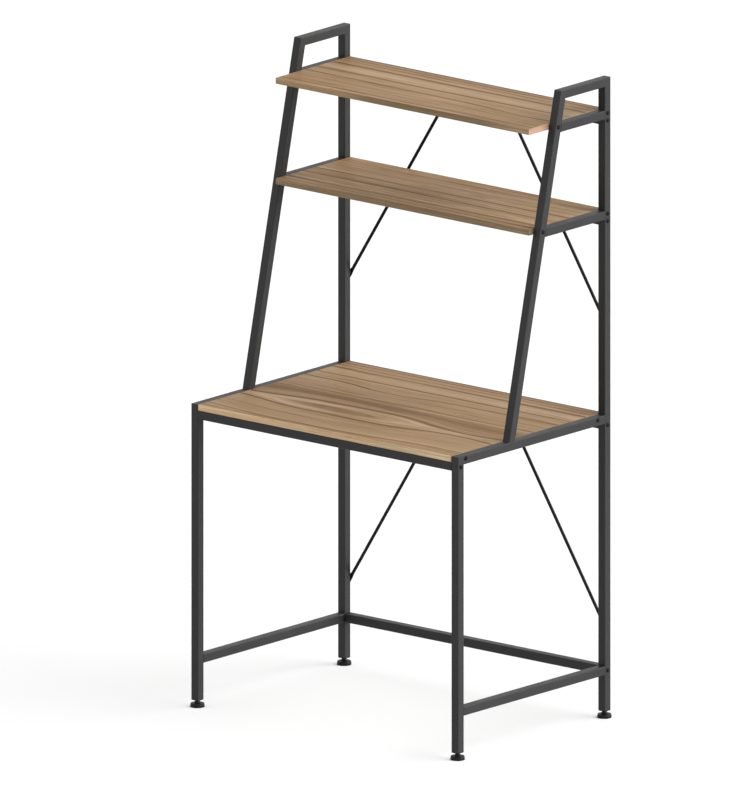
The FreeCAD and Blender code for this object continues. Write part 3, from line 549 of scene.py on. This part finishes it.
def socket_screw(reach, thread_start):
    """A button-head screw standing on its own head's seat at z = 0, with the shank below."""
    head = [(radius / PER_METRE, height / PER_METRE) for radius, height in SCREW_HEAD]
    shank = (
        (SHANK_RADIUS, -thread_start), (CORE_RADIUS, -thread_start - SHOULDER_LONG),
        (CORE_RADIUS, -reach + TIP_LONG), (TIP_RADIUS, -reach),
    )
    bm = bmesh.new()
    across_corners = SOCKET_ACROSS / 2 / cos(pi / SOCKET_CORNERS)
    hexagon = ring(bm, across_corners, head[0][1], SOCKET_CORNERS)
    bmesh.ops.subdivide_edges(bm, edges=hexagon, cuts=ROUND_STEPS // SOCKET_CORNERS - 1)
    hexagon = bm.edges[:]
    rim = ring(bm, *head[0])
    bmesh.ops.bridge_loops(bm, edges=hexagon + rim)
    wall = bmesh.ops.extrude_edge_only(bm, edges=hexagon)["geom"]
    bmesh.ops.translate(bm, vec=(0, 0, -SOCKET_DEPTH), verts=of_kind(bmesh.types.BMVert, wall))
    bottom = bmesh.ops.contextual_create(bm, geom=of_kind(bmesh.types.BMEdge, wall))["faces"]
    # The socket's faces take the second finish, a painted highlight
    for face in bottom + of_kind(bmesh.types.BMFace, wall):
        face.material_index = SOCKET_SLOT
    for radius, height in (*head[1:], *shank):
        rim = draw_loop(bm, rim, radius, height)
    bmesh.ops.contextual_create(bm, geom=rim)
    body = to_mesh(bm, "screw_body")
    bm = bmesh.new()
    low, high = THREAD_FROM_TIP - reach, -thread_start - THREAD_FROM_SHOULDER
    thread(bm, **SCREW_THREAD, bottom=low, top=high)
    bm.from_mesh(body)
    bpy.data.meshes.remove(body)
    return to_mesh(bm, "socket_screw")


def set_of(name, pattern, places):
    """One mesh object with the pattern's mesh at each of the places, given as matrices."""
    bm = bmesh.new()
    for place in places:
        old = len(bm.verts)
        bm.from_mesh(pattern)
        bm.verts.ensure_lookup_table()
        bmesh.ops.transform(bm, matrix=place, verts=bm.verts[old:])
    return add_object(name, to_mesh(bm, name))


def smooth_over(obj):
    """Shade the mesh smooth, but for its sharp edges."""
    bm = bmesh.new()
    bm.from_mesh(obj.data)
    for face in bm.faces:
        face.smooth = True
    for edge in bm.edges:
        edge.smooth = not edge.is_manifold or edge.calc_face_angle(0.0) < radians(SMOOTH_ANGLE)
    bm.to_mesh(obj.data)
    bm.free()


black_screw = black_finish(
    "blackened_steel", dark=6, pale=10, rough=0.4, grain_scale=2600.0, depth=0.00001, specular=0.12,
)
# The hex socket is painted paler than the black head: a painted highlight that stands for the lit centre
# of each head
socket_highlight_steel = black_finish(
    "socket_painted_highlight", dark=48, pale=60, rough=0.5, grain_scale=2600.0, depth=0.00001, specular=0.3,
)


def finish_screws(piece):
    smooth_over(piece)
    for steel in (black_screw, socket_highlight_steel):
        piece.data.materials.append(steel)
    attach(piece, "frame")


# Each screw's place as (depth, height), alike at both side frames, and each turned on from the
# one before, as hand-driven screws end up
OUTER_FACE = 0.421
SIDE_SCREWS = {
    "board_screws": (
        (-0.257, 0.747), (0.238, 0.747), (0.0326, 1.254), (0.275, 1.254), (0.0904, 1.504), (0.275, 1.504),
    ),
    "rail_screws": ((-0.275, 0.7285), (0.275, 0.7285), (0.275, 0.119), (0.275, 1.2355), (0.275, 1.4855)),
}
LONG_SCREW = {"reach": 0.037, "thread_start": 0.021}
SIDE_SCREW_TURN = 37
long_screw = socket_screw(**LONG_SCREW)
for name, rows in SIDE_SCREWS.items():
    places = []
    for side in (-1, 1):
        for number, (y, z) in enumerate(rows):
            inward = turn(side * QUARTER_TURN, "Y") @ turn(SIDE_SCREW_TURN * number, "Z")
            places.append(Matrix.Translation((side * OUTER_FACE, y, z)) @ inward)
    piece = set_of("socket_" + name, long_screw, places)
    finish_screws(piece)
    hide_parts(name)


# The four brace rods: 8 mm steel rod, its ends pressed flat, rounded and drilled, powder-coated
# with the frame. Each crosses from the middle of a rail to a rear post, behind both.
ROD_RADIUS, ROD_STANDOFF = 0.004, 0.0003
PLATE_WIDE, PLATE_THICK, PLATE_RUN, FLARE = 0.014, 0.003, 0.013, 0.016
PLATE_SQUARENESS = 8
TIP_ANGLES = (84, 72, 58, 42, 24, 8)
FLARE_STEPS, ROD_CORNERS = 8, 28
HOLE_RADIUS, HOLE_CORNERS, DRILL_LONG = 0.00325, 32, 0.02
REAR_FACE = 0.286
BRACES = {
    "upper_left_brace": ((-0.078, 1.4855), (-0.41, 0.9605)),
    "upper_right_brace": ((0.078, 1.4855), (0.41, 0.9605)),
    "lower_left_brace": ((-0.078, 0.7285), (-0.41, 0.2035)),
    "lower_right_brace": ((0.078, 0.7285), (0.41, 0.2035)),
}


def pressed_section(along):
    """Width, thickness, squareness and lift of a brace at a distance from its hole's centre."""
    part = min(max((along - PLATE_RUN) / FLARE, 0.0), 1.0)
    part = part * part * (3 - 2 * part)
    wide = PLATE_WIDE + (2 * ROD_RADIUS - PLATE_WIDE) * part
    if along < 0:
        wide *= (1 - (2 * along / PLATE_WIDE) ** 2) ** 0.5
    thick = PLATE_THICK + (2 * ROD_RADIUS - PLATE_THICK) * part
    return wide, thick, 1 - part, ROD_STANDOFF * part + thick / 2


def shape_section(points, along, reach):
    """Place a ring of points, told apart by their angle, as the brace's section there."""
    wide, thick, square, lift = pressed_section(min(along, reach - along))
    power = PLATE_SQUARENESS
    for number, point in enumerate(points):
        angle = 2 * pi * number / len(points)
        across, up = cos(angle), sin(angle)
        soften = (abs(across) ** power + abs(up) ** power) ** (-square / power)
        point.co = (along, across * wide / 2 * soften, up * thick / 2 * soften + lift)


def pressed_rod(reach):
    """A rod along X, from a hole at the origin to a hole at reach, lying on z = 0."""
    end = [-PLATE_WIDE / 2 * sin(radians(angle)) for angle in TIP_ANGLES]
    end.append(PLATE_RUN / 2)
    end.extend(PLATE_RUN + FLARE * step / FLARE_STEPS for step in range(FLARE_STEPS + 1))
    stations = end + [reach - along for along in reversed(end)]
    bm = bmesh.new()
    points = bmesh.ops.create_circle(bm, segments=ROD_CORNERS, radius=ROD_RADIUS)["verts"]
    shape_section(points, stations[0], reach)
    edges = bm.edges[:]
    bmesh.ops.contextual_create(bm, geom=edges)
    for along in stations[1:]:
        made = bmesh.ops.extrude_edge_only(bm, edges=edges)["geom"]
        edges = of_kind(bmesh.types.BMEdge, made)
        new = set(of_kind(bmesh.types.BMVert, made))
        points = [next(e.other_vert(v) for e in v.link_edges if e.other_vert(v) in new) for v in points]
        shape_section(points, along, reach)
    bmesh.ops.contextual_create(bm, geom=edges)
    return to_mesh(bm, "pressed_rod")


def drill(obj, centres):
    """Cut a round hole right through the object along Y at each centre."""
    bm = bmesh.new()
    for centre in centres:
        bmesh.ops.create_cone(
            bm, cap_ends=True, segments=HOLE_CORNERS, radius1=HOLE_RADIUS, radius2=HOLE_RADIUS,
            depth=DRILL_LONG, matrix=Matrix.Translation(centre) @ turn(QUARTER_TURN, "X"),
        )
    bit = add_object("drill_bit", to_mesh(bm, "drill_bit"))
    cut = obj.modifiers.new("drilled", "BOOLEAN")
    cut.operation, cut.solver, cut.object = "DIFFERENCE", "EXACT", bit
    bpy.context.view_layer.update()
    cut_through = obj.evaluated_get(bpy.context.evaluated_depsgraph_get())
    drilled = bpy.data.meshes.new_from_object(cut_through)
    obj.modifiers.clear()
    obj.data = drilled
    bpy.data.objects.remove(bit)


rod_coat = black_finish(
    "rod_powder_coat", dark=12, pale=17, rough=0.42, grain_scale=2200.0, depth=0.00002, specular=0.14,
)
for name, ((top_x, top_z), (foot_x, foot_z)) in BRACES.items():
    run = Vector((foot_x - top_x, 0.0, foot_z - top_z))
    side_axis = run.normalized().cross(Vector((0, -1, 0)))
    lie = Matrix((run.normalized(), -side_axis, (0, 1, 0))).transposed().to_4x4()
    rod = pressed_rod(run.length)
    rod.transform(Matrix.Translation((top_x, REAR_FACE, top_z)) @ lie)
    piece = add_object("pressed_" + name, rod)
    drill(piece, ((top_x, REAR_FACE, top_z), (foot_x, REAR_FACE, foot_z)))
    smooth_over(piece)
    finish_with(piece, rod_coat)
    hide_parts(name)
    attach(piece, "frame")


# The eight short screws that hold the braces: the same button heads on 13 mm shanks, through
# the pressed ends and into the threaded bushes in the rear walls.
SHORT_SCREW = {"reach": 0.013, "thread_start": 0.0036}
BRACE_SCREW_TURN = 23
places = []
for number, ends in enumerate(BRACES.values()):
    inward = turn(-QUARTER_TURN, "X") @ turn(BRACE_SCREW_TURN * number, "Z")
    places.extend(Matrix.Translation((x, REAR_FACE + PLATE_THICK, z)) @ inward for x, z in ends)
piece = set_of("socket_brace_screws", socket_screw(**SHORT_SCREW), places)
finish_screws(piece)
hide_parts("brace_screws")


# The leg inserts: moulded black nylon plugs pushed into the four tube ends, whose flange shows
# as a thin step under each leg.
LEG_X, LEG_Y = 0.41, 0.275
CORNERS = {
    "front_left": (-LEG_X, -LEG_Y), "front_right": (LEG_X, -LEG_Y),
    "rear_left": (-LEG_X, LEG_Y), "rear_right": (LEG_X, LEG_Y),
}
moulded_nylon = black_finish(
    "moulded_nylon", dark=22, pale=28, rough=0.5, grain_scale=1200.0, depth=0.00003, specular=0.3,
)
for corner in CORNERS:
    finish_with(nodes[corner + "_leg_insert"], moulded_nylon)


# The foot studs: turned steel, blackened, with a round flat head held in the pad, a cone collar
# that stands against the leg insert and an M8 thread of 1.25 mm pitch up into it.
STUD_TURNED = (
    (0.0, 2.55), (5.5, 2.55), (5.5, 5.55), (3.5, 5.55), (3.5, 9.55), (7.75, 9.55), (7.75, 10.6),
    (5.2, 16.95), (3.3, 16.95), (3.3, 49.9), (0.0, 49.9),
)
STUD_ROUNDING = 0.00025
STUD_THREAD = {"crest": 0.0039, "root": 0.0032, "pitch": 0.00125, "steps": 32}
STUD_THREAD_BOTTOM, STUD_THREAD_TOP = 0.0169, 0.05
TURNED_STEPS, ROUNDING_STEPS, SHARP_ANGLE = 48, 3, 25


def turned(profile):
    """A closed round piece about Z from a profile of (radius, height) in millimetres."""
    bm = bmesh.new()
    points = [bm.verts.new((radius / PER_METRE, 0.0, height / PER_METRE)) for radius, height in profile]
    edges = [bm.edges.new(pair) for pair in zip(points, points[1:])]
    bmesh.ops.spin(
        bm, geom=points + edges, cent=(0, 0, 0), axis=(0, 0, 1), angle=2 * pi,
        steps=TURNED_STEPS, use_merge=True,
    )
    bmesh.ops.remove_doubles(bm, verts=bm.verts, dist=MERGE_DISTANCE)
    return bm


def round_edges(bm, radius):
    """Round every sharp edge of the mesh."""
    limit = radians(SHARP_ANGLE)
    sharp = [e for e in bm.edges if e.is_manifold and abs(e.calc_face_angle_signed(0.0)) > limit]
    bmesh.ops.bevel(
        bm, geom=sharp, offset=radius, segments=ROUNDING_STEPS, profile=0.5,
        affect="EDGES", clamp_overlap=True, material=-1,
    )


def place_foot(pattern, name, corner, material, node, body):
    """Put a foot's pattern under a corner, as the piece that stands for its node."""
    x, y = CORNERS[corner]
    piece = set_of(name, pattern, [Matrix.Translation((x, y, 0.0))])
    smooth_over(piece)
    finish_with(piece, material)
    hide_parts(node)
    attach(piece, body)


bm = turned(STUD_TURNED)
round_edges(bm, STUD_ROUNDING)
stud_body = to_mesh(bm, "stud_body")
bm = bmesh.new()
thread(bm, **STUD_THREAD, bottom=STUD_THREAD_BOTTOM, top=STUD_THREAD_TOP)
bm.from_mesh(stud_body)
stud_mesh = to_mesh(bm, "foot_stud")
blacked_stud = black_finish(
    "blacked_stud", dark=6, pale=10, rough=0.4, grain_scale=2400.0, depth=0.00001, specular=0.14,
)
for corner in CORNERS:
    place_foot(
        stud_mesh, corner + "_threaded_stud", corner, blacked_stud,
        corner + "_foot_stud", corner + "_stud",
    )


# The foot pads: round moulded black plastic, 35 mm across and slightly tapered, hollow for the
# stud's head.
PAD_MOULDED = (
    (0.0, 0.0), (17.5, 0.0), (17.5, 4.5), (16.5, 9.5), (3.6, 9.5), (3.6, 5.6), (5.6, 5.6),
    (5.6, 2.5), (0.0, 2.5),
)
PAD_ROUNDING = 0.0007
bm = turned(PAD_MOULDED)
round_edges(bm, PAD_ROUNDING)
pad_mesh = to_mesh(bm, "foot_pad")
pad_plastic = black_finish(
    "pad_plastic", dark=10, pale=15, rough=0.5, grain_scale=1100.0, depth=0.00004, specular=0.18,
)
for corner in CORNERS:
    place_foot(
        pad_mesh, corner + "_moulded_pad", corner, pad_plastic,
        corner + "_foot_pad", corner + "_pad",
    )


# The studio: a white floor that keeps the desk's soft shadow, most of all close to the feet, and
# is clear from below, an even white surround, and two very broad lamps: one beyond the desk's
# right end and a weak one in front.
FLOOR_REACH = 40.0
FLOOR_BOUNCE, FLOOR_SHOWN = (0.5, 0.5, 0.5, 1.0), (0.97, 0.97, 0.97, 1.0)
SHADOW_KEPT, CONTACT_REACH, CONTACT_FADES, CONTACT_SAMPLES = 0.42, 0.025, (0.6, 0.95), 8
SURROUND_SHOWN, SURROUND_LIGHT = 1.0, 0.36
WHITE = (1.0, 1.0, 1.0, 1.0)
LAMPS = {
    "right_softbox": {"towards": (0.88, 0.47, 0.42), "strength": 4.8, "breadth": 70},
    "front_fill": {"towards": (-0.25, -0.5, 1.0), "strength": 0.96, "breadth": 100},
}


def seen_plainly(tree):
    """The camera's own view, then that together with gloss and glass: 1 there, 0 elsewhere."""
    seen = add_node(tree, "LightPath").outputs
    mirrored = calc(tree, "MAXIMUM", seen["Is Glossy Ray"], seen["Is Transmission Ray"])
    return seen["Is Camera Ray"], calc(tree, "MAXIMUM", seen["Is Camera Ray"], mirrored)


bm = bmesh.new()
bmesh.ops.create_grid(bm, x_segments=1, y_segments=1, size=FLOOR_REACH)
floor = add_object("studio_floor", to_mesh(bm, "studio_floor"))
floor_white, tree, shader = new_material("floor_white", Roughness=1.0, Specular_IOR_Level=0.0)
by_camera, shown = seen_plainly(tree)
tree.links.new(mix_colours(tree, shown, FLOOR_BOUNCE, FLOOR_SHOWN), shader.inputs["Base Color"])
contact = add_node(tree, "AmbientOcclusion", {"Distance": CONTACT_REACH}, samples=CONTACT_SAMPLES)
faded = fade(tree, contact.outputs["AO"], *CONTACT_FADES, 0.0, 1 - SHADOW_KEPT)
faded = calc(tree, "MULTIPLY", shown, faded)
glow = add_node(tree, "Emission", {"Color": WHITE, "Strength": 1.0}).outputs[0]
paper = add_node(tree, "MixShader", {0: faded, 1: shader.outputs[0], 2: glow}).outputs[0]
below = calc(tree, "MULTIPLY", add_node(tree, "NewGeometry").outputs["Backfacing"], by_camera)
clear = add_node(tree, "BsdfTransparent").outputs[0]
one_sided = add_node(tree, "MixShader", {0: below, 1: paper, 2: clear}).outputs[0]
tree.links.new(one_sided, tree.nodes["Material Output"].inputs["Surface"])
finish_with(floor, floor_white)
floor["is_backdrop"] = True

world = bpy.data.worlds.new("studio_surround")
bpy.context.scene.world = world
world.use_nodes = True
tree = world.node_tree
surround = tree.nodes["Background"]
surround.inputs["Color"].default_value = WHITE
shown = seen_plainly(tree)[1]
strength = calc(tree, "MULTIPLY_ADD", shown, SURROUND_SHOWN - SURROUND_LIGHT, SURROUND_LIGHT)
tree.links.new(strength, surround.inputs["Strength"])

for name, lamp in LAMPS.items():
    lamp_data = bpy.data.lights.new(name, "SUN")
    lamp_data.energy = lamp["strength"]
    lamp_data.angle = radians(lamp["breadth"])
    lamp_turn = Vector(lamp["towards"]).to_track_quat("Z", "Y").to_euler()
    add_object(name, lamp_data).rotation_euler = lamp_turn


def plain(box):
    return [[round(number, 5) for number in corner] for corner in box]


{"cad": plain(cad_box), "visual": plain(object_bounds())}
